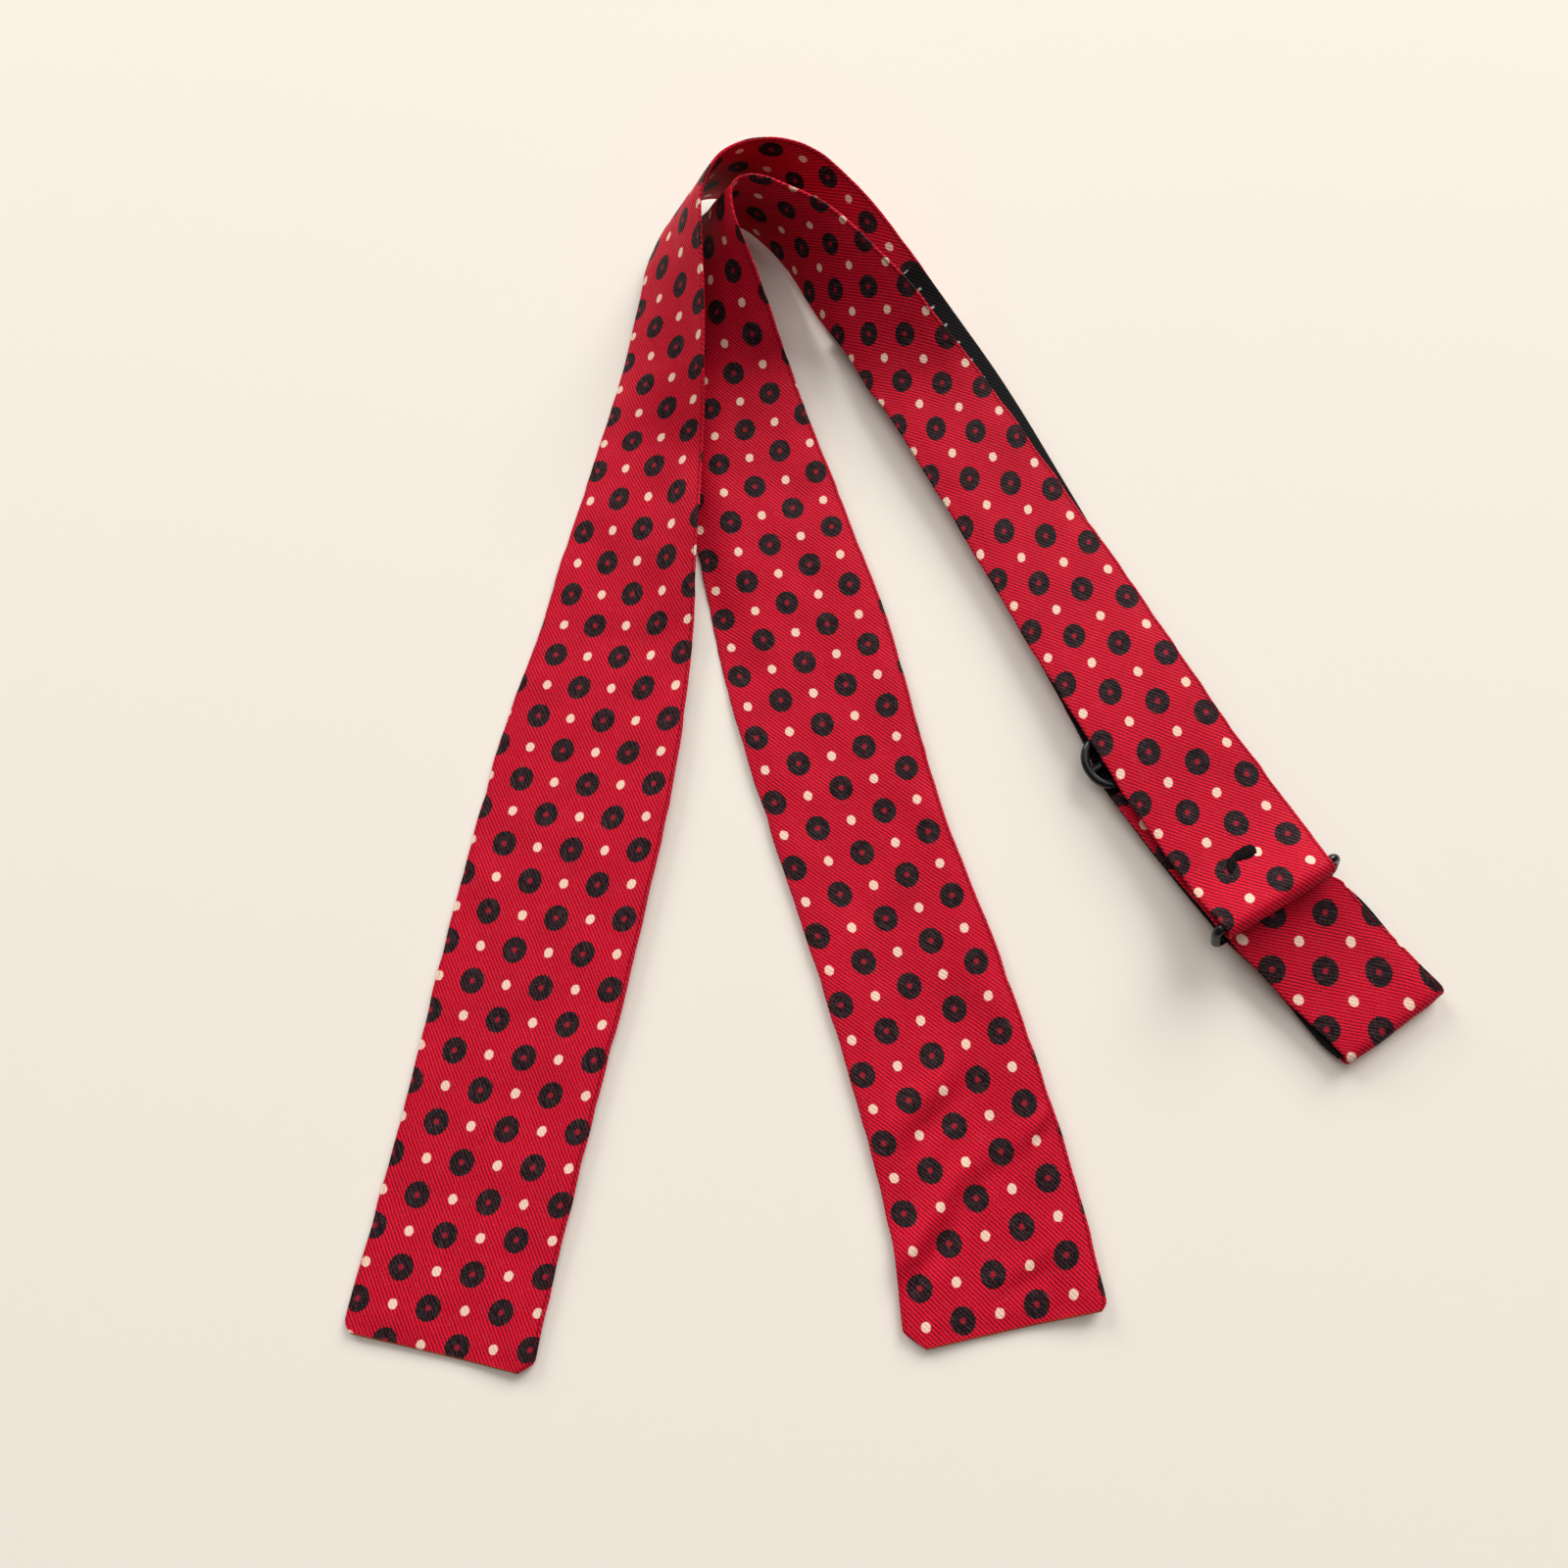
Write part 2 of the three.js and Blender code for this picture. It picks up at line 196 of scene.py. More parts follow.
def evenly(sections, step, ends):
    """Rows at even distances along a strip, and at the given small distances from its ends."""
    lengths = [0.0]
    for a, b in zip(sections, sections[1:]):
        lengths.append(lengths[-1] + (b.centre - a.centre).length)
    middle = lengths[-1] - 2 * ends[-1]
    count = round(middle / step)
    marks = list(ends) + [ends[-1] + middle * i / count for i in range(1, count)]
    marks += [lengths[-1] - end for end in reversed(ends)]
    found = []
    k = 0
    for mark in marks:
        while k < len(sections) - 2 and lengths[k + 1] < mark:
            k += 1
        share = (mark - lengths[k]) / (lengths[k + 1] - lengths[k])
        a, b = sections[k], sections[k + 1]
        found.append(Section(a.centre.lerp(b.centre, share), a.across.lerp(b.across, share).normalized(),
                             a.width + (b.width - a.width) * share))
    rows = []
    for i, section in enumerate(found):
        ahead = found[min(i + 1, len(found) - 1)].centre - found[max(i - 1, 0)].centre
        normal = section.across.cross(ahead).normalized()
        rows.append(Row(marks[i], section.centre, section.across, normal, section.width))
    return rows


def smooth_step(low, high, value):
    share = min(max((value - low) / (high - low), 0), 1)
    return share * share * (3 - 2 * share)


RIM = dict(half=0.42, near=0.2, full=5.0)


def cloth_half_thickness(gap):
    """Half the thickness of the pressed tube at a distance from its edge: thin at the fold."""
    half = RIM["half"]
    rounded = math.sqrt(max(0, 1 - (1 - min(gap / half, 1)) ** 2))
    return half * rounded + (CLOTH / 2 - half) * smooth_step(RIM["near"], RIM["full"], gap)


def print_place(table, aside, along):
    """The checkerboard's column and row at a place on the strip."""
    k = 0
    while k < len(table) - 2 and table[k + 1][0] < along:
        k += 1
    share = (along - table[k][0]) / (table[k + 1][0] - table[k][0])
    _, _, column, pitch, slope = (a + (b - a) * share for a, b in zip(table[k], table[k + 1]))
    level = along - slope * (aside - column) - PRINT_BOW * (aside - column) ** 2
    k = 0
    while k < len(table) - 2 and table[k + 1][0] < level:
        k += 1
    share = (level - table[k][0]) / (table[k + 1][0] - table[k][0])
    number = table[k][1] + (table[k + 1][1] - table[k][1]) * share
    return (aside - column) / pitch, number


EDGE_STEPS = (0, 0.08, 0.22, 0.42, 0.8, 1.5)
ACROSS_STEPS = 32
ALONG_STEP = 0.85
CORNER_BEND = 1.15

# The seams pucker a little, so each edge of a strip wavers.
# length of a wave, seed, height
EDGE_WAVES = ((9, 3, 0.30), (3.2, 8, 0.14))
EDGE_SEEDS = dict(left=2.5, right=7.5)


def silk_tube(name, rows, corners, prints, relief):
    """A flat tube of cloth along rows of sections, closed at both ends, with three UV maps: Print
    counts the checkerboard, Cloth is millimetres aside and along, and Edge is the distance from
    the right and left edges. relief(aside, along) gives the rise of the upper and of both faces."""
    total = rows[-1].along
    around = 2 * (2 * len(EDGE_STEPS) + ACROSS_STEPS - 2)
    mesh = bmesh.new()
    bmesh.ops.create_grid(mesh, x_segments=around, y_segments=len(rows) - 1, size=0.5)
    place = {vert: (round((vert.co.x + 0.5) * around), round((vert.co.y + 0.5) * (len(rows) - 1)))
             for vert in mesh.verts}
    laid = {}
    for k, row in enumerate(rows):
        reach = {}
        for side, cut in corners.items():
            wave = sum(noise.noise(Vector((row.along / length, EDGE_SEEDS[side], seed))) * height
                       for length, seed, height in EDGE_WAVES)
            corner = max(0, cut - row.along) ** CORNER_BEND / cut ** (CORNER_BEND - 1)
            reach[side] = row.width / 2 + wave - corner
        left, right = -reach["left"], reach["right"]
        near, far = left + EDGE_STEPS[-1], right - EDGE_STEPS[-1]
        stops = [left + gap for gap in EDGE_STEPS]
        stops += [near + (far - near) * i / ACROSS_STEPS for i in range(1, ACROSS_STEPS)]
        stops += [right - gap for gap in reversed(EDGE_STEPS)]
        for j in range(around + 1):
            upper = j <= around // 2
            aside = stops[j if upper else around - j]
            gap = min(aside - left, right - aside, row.along, total - row.along)
            bump, shared = relief(aside, row.along)
            half = cloth_half_thickness(gap)
            lift = half + bump * min(gap / 2, 1) if upper else -half
            point = row.centre + row.across * aside + row.normal * (lift + shared)
            point.z = max(point.z, 0)
            laid[j, k] = (point * MM, aside, row.along, right - aside, aside - left)
    for vert in mesh.verts:
        vert.co = laid[place[vert]][0]
    maps = {word: mesh.loops.layers.uv.new(word) for word in ("Print", "Cloth", "Edge")}
    for face in mesh.faces:
        face.smooth = True
        upper = sum(place[vert][0] for vert in face.verts) / len(face.verts) < around / 2
        for loop in face.loops:
            _, aside, along, from_right, from_left = laid[place[loop.vert]]
            loop[maps["Print"]].uv = print_place(prints[0 if upper else 1], aside, along)
            loop[maps["Cloth"]].uv = (aside if upper else -aside, along)
            loop[maps["Edge"]].uv = (from_right, from_left)
    bmesh.ops.remove_doubles(mesh, verts=mesh.verts, dist=1e-7)
    data = bpy.data.meshes.new(name)
    mesh.to_mesh(data)
    mesh.free()
    piece = bpy.data.objects.new(name, data)
    bpy.context.scene.collection.objects.link(piece)
    return piece


class Wire:
    """A shader socket with arithmetic: an expression on it adds its Math nodes."""

    def __init__(self, tree, socket):
        self.tree = tree
        self.socket = socket

    def node(self, kind, settings=None, output=0, **values):
        made = self.tree.nodes.new("ShaderNode" + kind)
        for key, value in (settings or {}).items():
            setattr(made, key, value)
        for key, value in values.items():
            socket = made.inputs[int(key[1:])] if key[1:].isdigit() else made.inputs[key.replace("_", " ")]
            if isinstance(value, Wire):
                self.tree.links.new(value.socket, socket)
            else:
                socket.default_value = value
        return Wire(self.tree, made.outputs[output])

    def math(self, operation, *values):
        return self.node("Math", {"operation": operation},
                         **{f"i{i}": value for i, value in enumerate(values)})

    def __add__(self, other):
        return self.math("ADD", self, other)

    def __sub__(self, other):
        return self.math("SUBTRACT", self, other)

    def __rsub__(self, other):
        return self.math("SUBTRACT", other, self)

    def __mul__(self, other):
        return self.math("MULTIPLY", self, other)

    def __truediv__(self, other):
        return self.math("DIVIDE", self, other)

    __radd__ = __add__
    __rmul__ = __mul__

    def zigzag(self):
        """Up from 0 to 1 and down again over each whole step."""
        return self.math("PINGPONG", self, 0.5) * 2

    def unsigned(self):
        return self.math("ABSOLUTE", self)

    def below(self, limit, soft):
        """1 where this is under the limit, 0 over it, with a soft change of the given width."""
        return self.node("MapRange", {"interpolation_type": "SMOOTHSTEP"}, Value=self,
                         From_Min=limit - soft / 2, From_Max=limit + soft / 2, To_Min=1.0, To_Max=0.0)

    def mix(self, start, end):
        """The colour start where this is 0 and end where it is 1."""
        return self.node("Mix", {"data_type": "RGBA"}, 2, i0=self, i6=start, i7=end)

    def grain(self, scale, detail=2.0, rough=0.5):
        """Noise in space, where this is a vector."""
        return self.node("TexNoise", Vector=self, Scale=scale, Detail=detail, Roughness=rough)

    def parts(self):
        """The three numbers of a vector."""
        first = self.node("SeparateXYZ", Vector=self)
        outputs = first.socket.node.outputs
        return [Wire(self.tree, output) for output in outputs]


def new_material(name, **surface):
    """A material with one surface shader; returns it, a wire to build on, and the shader."""
    material = bpy.data.materials.new(name)
    material.use_nodes = True
    tree = material.node_tree
    shader = tree.nodes["Principled BSDF"]
    for key, value in surface.items():
        shader.inputs[key.replace("_", " ")].default_value = value
    return material, Wire(tree, None), shader


def feed(shader, **links):
    for key, wire in links.items():
        wire.tree.links.new(wire.socket, shader.inputs[key.replace("_", " ")])


SILK_RED = (0.69, 0.007, 0.031, 1)
SILK_DEEP = (0.13, 0.001, 0.006, 1)
# A painted highlight on the red silk.
SILK_GLINT = (0.88, 0.045, 0.09, 1)
PRINT_BLACK = (0.009, 0.004, 0.006, 1)
PRINT_SPOT = (0.36, 0.011, 0.028, 1)
PRINT_CREAM = (0.93, 0.65, 0.50, 1)
# A painted highlight on the black ink of the discs.
INK_PAINTED_GLINT = (0.085, 0.045, 0.048, 1)
PRINT_SHADE = (0.55, 0.33, 0.22, 1)
SEAM_RED = (0.13, 0.002, 0.006, 1)
END_TAN = (0.42, 0.10, 0.03, 1)
CELL = 7.4
DISC = dict(across=2.58, along=2.78)
DOT = dict(across=0.93, along=1.05)
SPOT = 0.52
TWILL_PITCH = 0.69
TWILL_SLANT = 37
SEAM_INSET = dict(right=0.72, left=0.7)
STITCH_LENGTH = 1.7

silk, wire, surface = new_material("printed silk twill", Roughness=0.5, Specular_IOR_Level=0.06)
aside, along, _ = wire.node("UVMap", {"uv_map": "Cloth"}).parts()
column, number, _ = wire.node("UVMap", {"uv_map": "Print"}).parts()
from_right, from_left, _ = wire.node("UVMap", {"uv_map": "Edge"}).parts()
cloth_place = wire.node("CombineXYZ", X=aside, Y=along, Z=0.0)

# Twill ribs slant to the same hand on both faces, as the silk is cut on the bias.
slant = math.radians(TWILL_SLANT)
rib_place = (aside * math.cos(slant) + along * math.sin(slant)) / TWILL_PITCH
rib_run = along * math.cos(slant) - aside * math.sin(slant)
rib_warp = (cloth_place.grain(0.22) - 0.5) * 0.5
rib = (rib_place + rib_warp).zigzag()
groove = rib.below(0.30, 0.5)
slub_place = wire.node("CombineXYZ", X=rib_place * 1.4, Y=rib_run * 0.35, Z=0.0)
slub = slub_place.grain(1.0, 3.0)
bead = wire.node("CombineXYZ", X=rib_place * 2, Y=rib_run * 2.6, Z=0.0).grain(1.0, 1.0)

# The ink spreads a little along the ribs, so the outlines are ragged.
ragged = (cloth_place.grain(1.5, 3.0) - 0.5) * 0.42 + (rib - 0.5) * 0.16


def nearest(offset):
    """Distances, across and along in cells, to the nearest crossing of the checkerboard."""
    half_sum = (column + number) * 0.5 + offset
    half_difference = (column - number) * 0.5 + offset
    a = half_sum - half_sum.math("FLOOR", half_sum) - 0.5
    b = half_difference - half_difference.math("FLOOR", half_difference) - 0.5
    return a + b, a - b


def distance(across, forward, size):
    """Distance from a crossing, which is 1 on the outline of an oval mark of that size."""
    x = across * (CELL / size["across"])
    y = forward * (CELL / size["along"])
    return x.math("SQRT", x * x + y * y)


disc_across, disc_along = nearest(0.5)
dot_across, dot_along = nearest(0.0)
disc_distance = distance(disc_across, disc_along, DISC)
dot_distance = distance(dot_across, dot_along, DOT)
disc = (disc_distance * DISC["across"] + ragged).below(DISC["across"], 0.22)
spot = (disc_distance * DISC["across"] + ragged * 0.8).below(SPOT, 0.45)
dot = (dot_distance * DOT["across"] + ragged * 0.7).below(DOT["across"], 0.16)

uneven = cloth_place.grain(0.09, 3.0)
red = (groove * 1.15 + (uneven - 0.5) * 0.5 + (slub - 0.5) * 1.2).mix(SILK_RED, SILK_DEEP)
# Painted highlight on the silk: where the bead and slub noise runs high, and a little on each rib's crest,
# the red is mixed towards a pale pink glint.
glint = (bead + slub - 1.0) * 1.1 + rib * 0.05
red = glint.mix(red, SILK_GLINT)
# Painted highlight on the ink: where the bead and slub noise runs high, and on each rib's crest, the black
# of the discs is mixed towards a paler glint colour.
ink = ((bead + slub - 1.0) * 1.6 + rib * 0.4).mix(PRINT_BLACK, INK_PAINTED_GLINT)
colour = disc.mix(red, ink)
colour = (spot * 0.9).mix(colour, PRINT_SPOT)
colour = dot.mix(colour, (groove * 0.35).mix(PRINT_CREAM, PRINT_SHADE))

# A stitched seam runs just inside both edges, tighter at each stitch.
stitch = (along / STITCH_LENGTH).zigzag()
seam_wander = (along.node("CombineXYZ", X=along * 0.2).grain(1.0) - 0.5) * 0.3
seam = (from_right - SEAM_INSET["right"] + seam_wander).unsigned()
seam_line = seam.below(0.13, 0.16) * (0.45 + 0.55 * stitch.below(0.75, 0.3))
left_seam = (from_left - SEAM_INSET["left"] - seam_wander).unsigned()
left_line = left_seam.below(0.1, 0.2) * 0.35
lines = seam_line.math("MAXIMUM", seam_line, left_line)
colour = (lines * 0.85).mix(colour, SEAM_RED)
end = along.below(0.35, 0.4)
colour = (end * 0.7).mix(colour, END_TAN)

height = rib * 0.07 + bead * 0.03 - lines * 0.15 + slub * 0.03
bump = wire.node("Bump", Strength=0.7, Distance=MM, Height=height)
feed(surface, Base_Color=colour, Normal=bump, Roughness=0.5 + groove * 0.12 + (uneven - 0.5) * 0.15)


# How far the left and the right edge curl up from the table, at distances along the strip.
# along, left, right
LONG_CURL = [
    (0, 0.3, 0.8),
    (60, 0.2, 1.3),
    (140, 0.0, 1.9),
    (175, 0.0, 3.4),
    (215, 0.0, 3.2),
    (245, 0.0, 0.8),
    (265, 0.0, 0.0),
    (590, 0.0, 0.0),
]
CURL_FROM = 3
CURL_FULL = 19


def soft_relief(seed, amount, curls):
    """Small waves of the lying cloth, of the given height, and its curled edges."""
    def relief(aside, along):
        wide = noise.noise(Vector((aside / 14, along / 21, seed)))
        narrow = noise.noise(Vector((aside / 5, along / 8, seed + 5)))
        pillow = noise.noise(Vector((aside / 8, along / 11, seed + 9)))
        k = max(i for i in range(len(curls) - 1) if curls[i][0] <= along + 1e-6)
        share = smooth_step(curls[k][0], curls[k + 1][0], along)
        side = 1 if aside < 0 else 2
        curl = curls[k][side] + (curls[k + 1][side] - curls[k][side]) * share
        curl *= smooth_step(CURL_FROM, CURL_FULL, abs(aside))
        return pillow * amount, (wide + narrow * 0.3) * amount * 0.5 + curl
    return relief


end_radius = (STRAP_RISE - LOWER_RISE) / 2
end_axis = fold_axis(END_FOLD, end_radius, LOWER_RISE + end_radius)
lower = strip_from_rows(LONG_HALF)
end_turn = fold_over(END_FOLD, end_axis, end_radius, 1)
long_rows = evenly(lower + end_turn + strip_from_rows(STRAP), ALONG_STEP, EDGE_STEPS)
long_piece = silk_tube("long_half_silk", long_rows, LONG_CORNERS,
                       (LONG_FACE_PRINT, LONG_BACK_PRINT), soft_relief(1, 0.35, LONG_CURL))
long_piece.data.materials.append(silk)
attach(long_piece, "root")
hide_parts("long_half")

# Short half: the same silk tube. It holds the centre blade, stands on edge round the inner loop,
# lies on the arm, and is folded round the ring's upper bar, with its tail under it.
RING_FOLD = dict(x=78.3, y=-42.7, facing=31.2, width=25.9)
SHORT_CORNERS = dict(left=4.2, right=1.3)
WRAP_RADIUS = (WIRE + CLOTH) / 2 + WIRE_CLEARANCE
TAIL_RISE = STRAP_ON_RING + CLOTH + CLEARANCE
RING_TOP_RISE = TAIL_RISE + WRAP_RADIUS
TAIL_LENGTH = 10.0
TAIL_END_RISE = 5.7

# x, y, rise, facing, lean, width
SHORT_HALF = [
    (20.5, -124.6, 0.7, 12.2, 0, 40.4),
    (16.3, -99.3, 0.7, 13, 0, 38.4),
    (5.3, -60.5, 0.7, 17, 0, 37.3),
    (-7.3, -22.5, 0.7, 16, 0, 36.6),
    (-17.7, 15.3, 1.2, 15, 0, 38.8),
    (-23.4, 36.5, 1.9, 17, 0, 36.0),
    (-28.6, 56.0, 2.3, 12, 0, 33.0),
    (-33.0, 79.5, 3.0, 11, 6, 26.0),
    (-36.6, 92.0, 6.0, 3, 23, 26.0),
    (-39.0, 104.2, 10.2, -11, 39, 26.8),
    (-39.3, 115.8, 13.8, -41, 50, 26.6),
    (-37.4, 121.9, 15.2, -47, 62, 25.0),
    (-30.5, 121.6, 15.0, -38, 77, 23.0),
    (-23.0, 118.0, 13.4, -4, 73, 23.0),
    (-15.8, 111.6, 12.4, 20, 65, 23.0),
    (-8.7, 102.5, 11.6, 28, 52, 23.0),
    (-1.4, 93.9, 10.2, 32, 36, 21.6),
    (5.4, 85.0, 7.4, 33, 18, 22.0),
    (12.2, 75.8, 5.6, 31, 5, 23.2),
    (26.7, 51.3, 4.2, 31, 0, 25.3),
    (41.5, 24.5, 4.3, 31, 0, 27.1),
    (50.6, 7.1, 5.6, 31, 0, 27.4),
    (55.7, -2.5, 6.2, 31, 0, 27.3),
    (60.8, -11.9, 6.3, 31, 0, 27.5),
    (66.3, -20.7, 6.4, 31, 0, 28.0),
    (71.3, -29.3, 7.3, 31, 0, 27.8),
    (74.0, -34.7, 9.2, 31, 0, 27.2),
]

# along, row, column, pitch, slope
SHORT_FACE_PRINT = [
    (0, 0.5, -0.6, 7.4, 0.0),
    (54.6, 8.0, -1.3, 7.4, 0.02),
    (99.3, 14.0, -1.1, 7.4, -0.02),
    (143.9, 20.0, -1.2, 7.35, -0.03),
    (172.8, 24.0, -1.4, 7.3, -0.03),
    (201.9, 28.0, -0.8, 7.1, 0.02),
    (223.5, 31.0, -0.2, 7.2, 0.0),
    (480, 65.6, -1.2, 7.4, 0.0),
]
SHORT_BACK_PRINT = [
    (0, -1.0, -1.0, 7.4, 0.0),
    (270, 35.6, 4.6, 6.7, -0.09),
    (285.9, 38.0, 4.4, 6.7, -0.09),
    (312.2, 42.0, 2.8, 6.7, -0.12),
    (339.9, 46.0, 2.8, 7.3, -0.22),
    (369.5, 50.0, 2.9, 7.4, -0.19),
    (399.1, 54.0, 3.4, 7.5, -0.08),
    (429.9, 58.0, 3.3, 7.7, -0.05),
    (445.0, 60.0, 2.0, 7.5, 0.0),
    (480, 64.7, 2.0, 7.4, 0.0),
]

# Soft creases that the blade keeps from being tied: their middle on the strip, the direction of
# their line, their half length and half width, and their depth.
# aside, along, turn, reach, spread, depth
CREASES = [
    (-11.0, 17.5, 40, 11.0, 2.0, 0.8),
    (-2.0, 27.0, 32, 8.0, 1.8, 0.35),
    (-3.5, 42.5, 35, 9.0, 2.2, 0.7),
    (10.0, 31.0, 25, 8.0, 1.6, 0.25),
    (16.5, 35.5, 48, 3.5, 0.8, 0.4),
    (6.0, 8.0, 20, 7.0, 1.5, 0.25),
]

# The cloth stands up in a ridge beside each crease: its height against the crease's depth, and its
# place and half width against the crease's half width.
RIDGE = dict(height=1.7, offset=2.2, spread=1.3)

# How far the left and the right edge curl up from the table, as for the long half.
# along, left, right
SHORT_CURL = [
    (0, 0.6, 1.4),
    (60, 0.6, 1.4),
    (120, 0.4, 1.0),
    (150, 0.0, 0.5),
    (175, 0.0, 0.0),
    (480, 0.0, 0.0),
]
short_relief = soft_relief(4, 0.35, SHORT_CURL)

# The blade's left edge droops beside the long half, between these distances along the strip. It
# does so over the first and last lengths given, and from the near to the full distance aside.
DROOP = dict(low=125, rise=35, high=232, fall=25, near=8, full=17, depth=1.6)


def creased_relief(aside, along):
    bump, shared = short_relief(aside, along)
    beside = smooth_step(DROOP["low"], DROOP["low"] + DROOP["rise"], along)
    beside *= 1 - smooth_step(DROOP["high"] - DROOP["fall"], DROOP["high"], along)
    shared -= DROOP["depth"] * beside * smooth_step(DROOP["near"], DROOP["full"], -aside)
    for middle, place, turn, reach, spread, depth in CREASES:
        line = math.radians(turn)
        run = (aside - middle) * math.cos(line) + (along - place) * math.sin(line)
        off = (along - place) * math.cos(line) - (aside - middle) * math.sin(line)
        fade = math.exp(-(run / reach) ** 2)
        beyond = (off / spread - RIDGE["offset"]) / RIDGE["spread"]
        bump -= depth * fade * math.exp(-(off / spread) ** 2)
        shared += depth * fade * RIDGE["height"] * math.exp(-beyond ** 2)
    return bump, shared


ring_axis = fold_axis(RING_FOLD, WRAP_RADIUS, RING_TOP_RISE)
ring_across = plan_direction(RING_FOLD["facing"])
ring_outward = plan_direction(RING_FOLD["facing"] - 90)
ring_turn = fold_over(RING_FOLD, ring_axis, WRAP_RADIUS, -1)
tail_end = ring_axis - ring_outward * TAIL_LENGTH
tail_end.z = TAIL_END_RISE
tail = Section(tail_end, ring_across, RING_FOLD["width"])
short_rows = evenly(strip_from_rows(SHORT_HALF) + ring_turn + [tail], ALONG_STEP, EDGE_STEPS)
short_piece = silk_tube("short_half_silk", short_rows, SHORT_CORNERS,
                        (SHORT_FACE_PRINT, SHORT_BACK_PRINT), creased_relief)
short_piece.data.materials.append(silk)
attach(short_piece, "root")
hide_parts("short_half")

# Neck tape: a black ribbed woven tape with plain white measuring ticks, sewn flat along the inside
# of the long half from the outer loop to the end fold.
TAPE_WIDTH = dict(start=24.4, end=26.4)
TAPE_START = dict(x=-1.5, y=80)
TAPE_EDGES = (0, 0.15, 0.4)
TICK_PITCH = 5.0

tape_first = next(i for i, section in enumerate(lower)
                  if section.centre.x > TAPE_START["x"] and section.centre.y > TAPE_START["y"])
carrier = lower[tape_first:] + [end_turn[0]]
tape_sections = []
for i, section in enumerate(carrier):
    ahead = carrier[min(i + 1, len(carrier) - 1)].centre - carrier[max(i - 1, 0)].centre
    inner = ahead.cross(section.across).normalized()
    middle = section.centre + inner * (CLOTH / 2 + CLEARANCE + TAPE / 2)
    share = i / (len(carrier) - 1)
    width = TAPE_WIDTH["start"] + (TAPE_WIDTH["end"] - TAPE_WIDTH["start"]) * share
    tape_sections.append(Section(middle, section.across, width))
tape_rows = evenly(tape_sections, 1.0, TAPE_EDGES)

mesh = bmesh.new()
bmesh.ops.create_grid(mesh, x_segments=24, y_segments=len(tape_rows) - 1, size=0.5)
cloth_map = mesh.loops.layers.uv.new("Cloth")
for face in mesh.faces:
    face.smooth = True
    for loop in face.loops:
        row = tape_rows[round((loop.vert.co.y + 0.5) * (len(tape_rows) - 1))]
        loop[cloth_map].uv = (loop.vert.co.x * row.width, row.along)
for vert in mesh.verts:
    row = tape_rows[round((vert.co.y + 0.5) * (len(tape_rows) - 1))]
    vert.co = (row.centre + row.across * vert.co.x * row.width) * MM
data = bpy.data.meshes.new("neck_tape_weave")
mesh.to_mesh(data)
mesh.free()
tape = bpy.data.objects.new("neck_tape_weave", data)
bpy.context.scene.collection.objects.link(tape)
solid = tape.modifiers.new("thickness", "SOLIDIFY")
solid.thickness = TAPE * 0.8 * MM
solid.offset = 0
rounding = tape.modifiers.new("edges", "BEVEL")
rounding.width = 0.25 * MM
rounding.segments = 2

weave, wire, surface = new_material("black woven tape", Roughness=0.8, Specular_IOR_Level=0.12)
aside, along, _ = wire.node("UVMap", {"uv_map": "Cloth"}).parts()
rib_place = aside * 1.15 - along * 0.75
rib = rib_place.zigzag()
pick_place = aside * 0.9 + along * 1.9
pick = pick_place.zigzag()
tick_gap = (along / TICK_PITCH).zigzag() * (TICK_PITCH / 2)
tick = tick_gap.below(0.28, 0.12) * (0 - aside).below(-6.2, 0.1) * aside.below(9.4, 0.1)
tick = tick * (pick * 0.5 + 0.6)
black = (rib * 0.6 + pick * 0.2).mix((0.003, 0.003, 0.003, 1), (0.016, 0.015, 0.016, 1))
feed(surface, Base_Color=tick.mix(black, (0.55, 0.52, 0.48, 1)),
     Normal=wire.node("Bump", Strength=0.6, Distance=MM, Height=rib * 0.12 + pick * 0.05))
tape.data.materials.append(weave)
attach(tape, "root")
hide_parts("neck_tape")

# Ring and slider: hard steel wire, bent and coated in glossy black enamel. The ring stands on its
# lower bar in the fold of the short half, and the slider lies flat on the tape.
RING = dict(length=29.3, shift=0.5, lean=2.2, corner=1.5)
SLIDER = dict(x=54.0, y=-5.7, facing=31, across=26.9, along=10.9, corner=5.0)


def wire_loop(name, centre, side, end, length, breadth, corner, bar=False):
    """A closed loop of round wire with rounded corners, with a bar across it if asked."""
    curve = bpy.data.curves.new(name, "CURVE")
    curve.dimensions = "3D"
    curve.bevel_depth = WIRE / 2 * MM
    curve.bevel_resolution = 6
    curve.use_fill_caps = True
    path = []
    for quarter in range(4):
        across_sign = 1 if quarter in (0, 3) else -1
        end_sign = 1 if quarter < 2 else -1
        for i in range(9):
            angle = math.radians(90 * quarter + 90 * i / 8)
            across = across_sign * (length / 2 - corner) + corner * math.cos(angle)
            forward = end_sign * (breadth / 2 - corner) + corner * math.sin(angle)
            path.append(centre + side * across + end * forward)
    runs = [(path, True)]
    if bar:
        runs.append(([centre - side * length / 2, centre + side * length / 2], False))
    for points, closed in runs:
        spline_path = curve.splines.new("POLY")
        spline_path.points.add(len(points) - 1)
        spline_path.use_cyclic_u = closed
        spline_path.use_smooth = True
        for target, point in zip(spline_path.points, points):
            target.co = (*(point * MM), 1)
    made = bpy.data.objects.new(name, curve)
    bpy.context.scene.collection.objects.link(made)
    return made


upper_bar = ring_axis + ring_across * RING["shift"]
lower_bar = upper_bar + ring_outward * RING["lean"]
lower_bar.z = WIRE_RISE
reach = lower_bar - upper_bar
ring = wire_loop("wire_ring", upper_bar.lerp(lower_bar, 0.5), ring_across, reach.normalized(),
                 RING["length"], reach.length, RING["corner"])
slider = wire_loop("wire_slider", Vector((SLIDER["x"], SLIDER["y"], WIRE_RISE)),
                   plan_direction(SLIDER["facing"]), plan_direction(SLIDER["facing"] - 90),
                   SLIDER["across"], SLIDER["along"], SLIDER["corner"], bar=True)

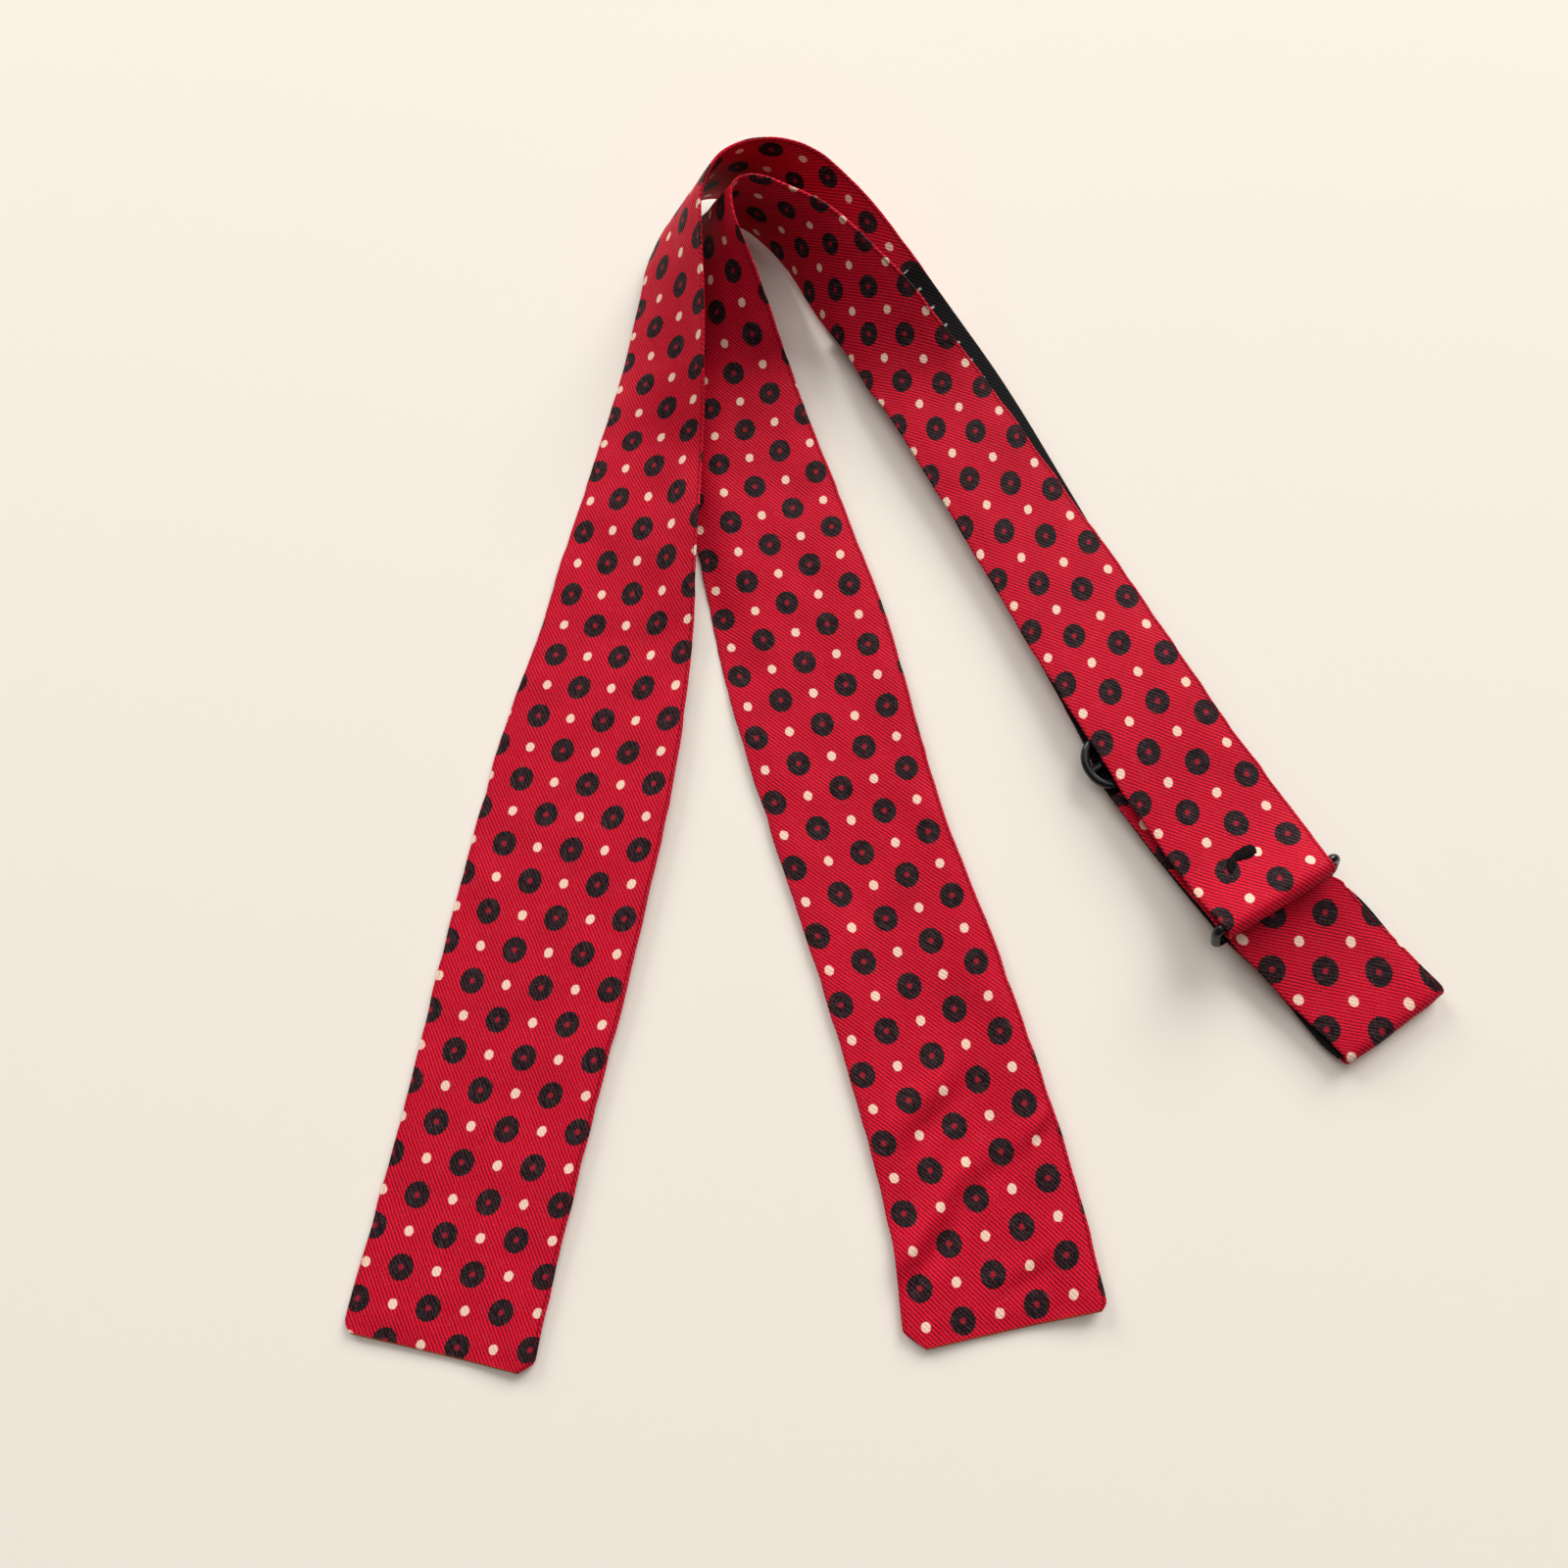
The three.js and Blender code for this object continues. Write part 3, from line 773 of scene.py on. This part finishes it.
enamel, wire, surface = new_material("black enamel", Roughness=0.2, Specular_IOR_Level=0.35)
coat = wire.node("TexCoord", output=3).grain(900, 3.0)
worn = wire.node("TexCoord", output=3).grain(260, 4.0)
feed(surface, Base_Color=worn.below(0.36, 0.1).mix((0.006, 0.006, 0.007, 1), (0.02, 0.019, 0.019, 1)),
     Roughness=0.12 + coat * 0.12, Normal=wire.node("Bump", Strength=0.15, Distance=MM, Height=coat * 0.05))
for piece, node in ((ring, "ring"), (slider, "slider")):
    piece.data.materials.append(enamel)
    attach(piece, "root")
    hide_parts(node)

# Bar tack: thick black thread worked over and over through the short half's fold and its tail, so
# that the fold can't slip off the ring. It stands a little proud of the silk.
TACK_START = Vector((67.8, -34.4, 0))
TACK_END = Vector((74.6, -31.0, 0))
TACK_SINK = 0.15
THREAD_PITCH = 0.34

# share of the length, offset to the left, half width, height
TACK_SHAPE = [
    (0.0, -1.3, 0.60, 0.30),
    (0.06, -1.1, 1.25, 0.60),
    (0.22, -0.3, 1.55, 0.80),
    (0.36, 0.5, 1.15, 0.65),
    (0.50, 0.5, 1.45, 0.80),
    (0.75, 0.3, 1.75, 0.90),
    (0.94, 0.4, 1.40, 0.70),
    (1.0, 0.45, 0.60, 0.30),
]


def top_place(rows, place):
    """The point and the direction up on the upper face of a strip, over a place in plan."""
    found = None
    for row in rows:
        ahead = row.normal.cross(row.across)
        flat = Vector((place.x - row.centre.x, place.y - row.centre.y, 0))
        if abs(flat.dot(ahead)) < ALONG_STEP and abs(flat.dot(row.across)) < row.width / 2:
            if found is None or row.centre.z > found[0].z:
                up = row.normal if row.normal.z > 0 else -row.normal
                found = (row.centre + row.across * flat.dot(row.across) + ahead * flat.dot(ahead), up)
    middle, up = found
    return middle + up * (CLOTH / 2 - TACK_SINK), up


tack_line = TACK_END - TACK_START
tack_left = Vector((-tack_line.y, tack_line.x, 0)).normalized()
TACK_ROWS = 96
TACK_AROUND = 20
tack_mesh = bmesh.new()
bmesh.ops.create_grid(tack_mesh, x_segments=TACK_AROUND, y_segments=TACK_ROWS, size=0.5)
tack_map = tack_mesh.loops.layers.uv.new("Thread")
for face in tack_mesh.faces:
    face.smooth = True
    for loop in face.loops:
        loop[tack_map].uv = (loop.vert.co.x, (loop.vert.co.y + 0.5) * tack_line.length)
for vert in tack_mesh.verts:
    share = vert.co.y + 0.5
    k = max(i for i in range(len(TACK_SHAPE) - 1) if TACK_SHAPE[i][0] <= share)
    blend = smooth_step(TACK_SHAPE[k][0], TACK_SHAPE[k + 1][0], share)
    _, offset, half_width, height = (a + (b - a) * blend for a, b in zip(TACK_SHAPE[k], TACK_SHAPE[k + 1]))
    turn = share * tack_line.length / THREAD_PITCH * math.tau
    uneven_thread = noise.noise(Vector((share * 14, vert.co.x * 3, 5)))
    proud = 1 + 0.07 * math.sin(turn + vert.co.x * 3) + 0.1 * uneven_thread
    foot, up = top_place(short_rows, TACK_START + tack_line * share + tack_left * offset)
    angle = vert.co.x * math.tau
    reach = tack_left * math.sin(angle) * half_width + up * math.cos(angle) * height
    vert.co = (foot + reach * proud) * MM
bmesh.ops.remove_doubles(tack_mesh, verts=tack_mesh.verts, dist=1e-7)
bmesh.ops.holes_fill(tack_mesh, edges=tack_mesh.edges)
bmesh.ops.recalc_face_normals(tack_mesh, faces=tack_mesh.faces)
tack_data = bpy.data.meshes.new("bar_tack")
tack_mesh.to_mesh(tack_data)
tack_mesh.free()
tack = bpy.data.objects.new("bar_tack", tack_data)
bpy.context.scene.collection.objects.link(tack)

thread, wire, surface = new_material("black thread", Roughness=0.8, Specular_IOR_Level=0.1)
around, along, _ = wire.node("UVMap", {"uv_map": "Thread"}).parts()
strand = (along / THREAD_PITCH + around * 0.5).zigzag()
fuzz = wire.node("TexCoord", output=3).grain(4000, 3.0)
black = (strand * 0.7 + fuzz * 0.4).mix((0.002, 0.002, 0.002, 1), (0.014, 0.010, 0.011, 1))
feed(surface, Base_Color=black,
     Normal=wire.node("Bump", Strength=0.7, Distance=MM, Height=strand * 0.08 + fuzz * 0.05))
tack.data.materials.append(thread)
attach(tack, "root")

# Table, lights and camera, which aren't part of the tie.
floor_mesh = bmesh.new()
bmesh.ops.create_grid(floor_mesh, x_segments=1, y_segments=1, size=1.5)
floor_data = bpy.data.meshes.new("table")
floor_mesh.to_mesh(floor_data)
floor_mesh.free()
floor = bpy.data.objects.new("table", floor_data)
bpy.context.scene.collection.objects.link(floor)
pale, wire, surface = new_material("pale cloth", Roughness=0.9, Specular_IOR_Level=0.1,
                                   Base_Color=(0.87, 0.815, 0.735, 1))
floor.data.materials.append(pale)

scene = bpy.context.scene
scene.view_settings.view_transform = "Standard"
scene.world = bpy.data.worlds.new("soft room")
scene.world.use_nodes = True
scene.world.node_tree.nodes["Background"].inputs["Color"].default_value = (1.0, 0.88, 0.78, 1)
scene.world.node_tree.nodes["Background"].inputs["Strength"].default_value = 0.13

LAMPS = [
    # name, place, size, power, colour
    ("soft box", (0.0, 0.8, 3.4), 3.4, 44.0, (1.0, 0.99, 0.985)),
    ("left window", (-2.1, 3.0, 1.7), 1.8, 84.0, (1.0, 0.99, 0.985)),
    ("right window", (1.8, 3.15, 2.1), 2.3, 168.0, (1.0, 0.99, 0.985)),
]
for name, place, size, power, tint in LAMPS:
    lamp_data = bpy.data.lights.new(name, "AREA")
    lamp_data.size = size
    lamp_data.energy = power
    lamp_data.color = tint
    lamp = bpy.data.objects.new(name, lamp_data)
    lamp.location = place
    lamp.rotation_euler = (-Vector(place)).to_track_quat("-Z", "Y").to_euler()
    scene.collection.objects.link(lamp)

camera_data = bpy.data.cameras.new("camera")
camera_data.sensor_width = 36.0
camera_data.lens = 29.25
camera_data.clip_start = 0.01
camera = bpy.data.objects.new("camera", camera_data)
camera.location = (-0.012, -0.079, 0.270)
camera.rotation_euler = (math.radians(13.596), math.radians(2.355), 0)
scene.collection.objects.link(camera)
scene.camera = camera
